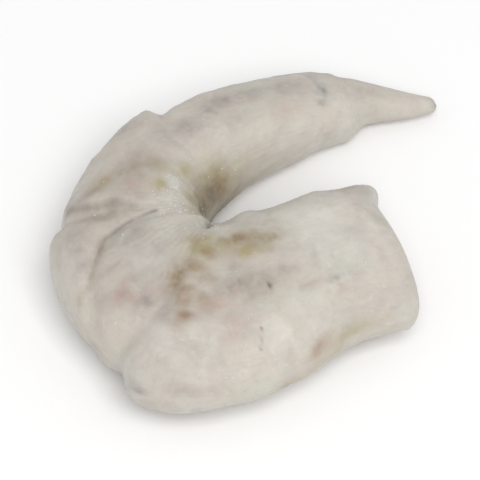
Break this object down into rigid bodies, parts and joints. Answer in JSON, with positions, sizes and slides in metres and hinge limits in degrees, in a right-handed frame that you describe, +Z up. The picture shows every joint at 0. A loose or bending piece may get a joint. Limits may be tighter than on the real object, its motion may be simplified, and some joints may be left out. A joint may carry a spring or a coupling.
{
  "type": "raw peeled shrimp",
  "caption": "Raw peeled shrimp with no head, shell or tail fan, curled over and lying on its side, with a cut head end and a pointed tail tip.",
  "frame": {"origin": "middle of the bounding box in plan, at the level of the surface that it lies on", "axes": "+Z up from that surface, +X towards the cut head end and the tail tip, +Y from the head half towards the tail half"},
  "size_m": [0.048, 0.0542, 0.0154],
  "materials": {
    "flesh": "pale grey-beige raw flesh, faintly mottled, matt and slightly frosty"
  },
  "bodies": {
    "root": {"peeled_shrimp": "flesh"}
  },
  "joints": []
}
